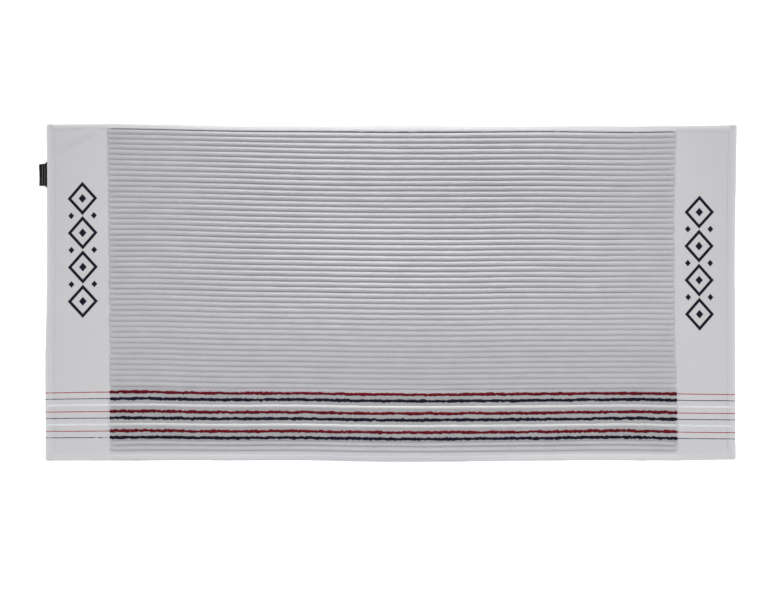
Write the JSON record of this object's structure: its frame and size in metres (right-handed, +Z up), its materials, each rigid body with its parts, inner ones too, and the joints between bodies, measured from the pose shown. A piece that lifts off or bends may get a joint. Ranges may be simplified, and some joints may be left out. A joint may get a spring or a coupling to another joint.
{
  "type": "golf towel",
  "caption": "Long ribbed terry golf towel with flat woven end bands, folded hems, red and navy pile rows along one side, an argyle motif and a folded black edge label.",
  "frame": {"origin": "middle of the towel as it lies flat, on the surface that it lies on", "axes": "+X along the length towards the end without the label, +Y across the width away from the coloured rows, +Z up out of the pile face"},
  "size_m": [1.027, 0.494, 0.0036],
  "materials": {
    "terry_grey": "ribbed looped cotton pile, matte",
    "ground_weave": "plain woven cotton, matte",
    "flat_weave": "flat woven cotton, matte",
    "red_pile": "cut cotton pile, matte",
    "navy_pile": "cut cotton pile, matte",
    "white_cord": "dense smooth white pile, matte",
    "sewing_thread": "cotton sewing thread, slight sheen",
    "red_yarn": "flat woven coloured yarn, matte",
    "navy_yarn": "flat woven coloured yarn, matte",
    "white_yarn": "flat woven white yarn, matte",
    "motif_navy": "flat woven navy thread, matte",
    "label_ribbon": "black woven ribbon, satin",
    "label_line": "grey woven line, matte"
  },
  "bodies": {
    "left_half": {"ground_cloth_left": "ground_weave", "ribbed_pile_left": "terry_grey", "red_pile_rows_left": "red_pile", "navy_pile_rows_left": "navy_pile", "white_cord_rows_left": "white_cord", "end_band_left": "flat_weave", "top_hem_left": "flat_weave", "top_hem_inner_ply_left": "flat_weave", "bottom_hem_left": "flat_weave", "bottom_hem_inner_ply_left": "flat_weave", "end_hem_left": "flat_weave", "end_hem_inner_ply_left": "flat_weave", "top_seam_thread_left": "sewing_thread", "bottom_seam_thread_left": "sewing_thread", "end_seam_thread_left": "sewing_thread", "red_pinstripes_left": "red_yarn", "navy_pinstripes_left": "navy_yarn", "white_band_stripes_left": "white_yarn", "argyle_motif_left": "motif_navy", "label_tails": "label_ribbon"},
    "right_half": {"ground_cloth_right": "ground_weave", "ribbed_pile_right": "terry_grey", "red_pile_rows_right": "red_pile", "navy_pile_rows_right": "navy_pile", "white_cord_rows_right": "white_cord", "end_band_right": "flat_weave", "top_hem_right": "flat_weave", "top_hem_inner_ply_right": "flat_weave", "bottom_hem_right": "flat_weave", "bottom_hem_inner_ply_right": "flat_weave", "end_hem_right": "flat_weave", "end_hem_inner_ply_right": "flat_weave", "top_seam_thread_right": "sewing_thread", "bottom_seam_thread_right": "sewing_thread", "end_seam_thread_right": "sewing_thread", "red_pinstripes_right": "red_yarn", "navy_pinstripes_right": "navy_yarn", "white_band_stripes_right": "white_yarn", "argyle_motif_right": "motif_navy"},
    "label": {"label_loop": "label_ribbon", "label_woven_lines": "label_line"}
  },
  "joints": [
    {"name": "centre_fold", "type": "hinge", "parent": "left_half", "child": "right_half", "pos_m": [0, 0, 0.0044], "axis": [0, -1, 0], "range_deg": [0, 179.5]},
    {"name": "label_flip", "type": "hinge", "parent": "left_half", "child": "label", "pos_m": [-0.5084, 0.169, 0.0022], "axis": [0, 1, 0], "range_deg": [0, 170]}
  ]
}
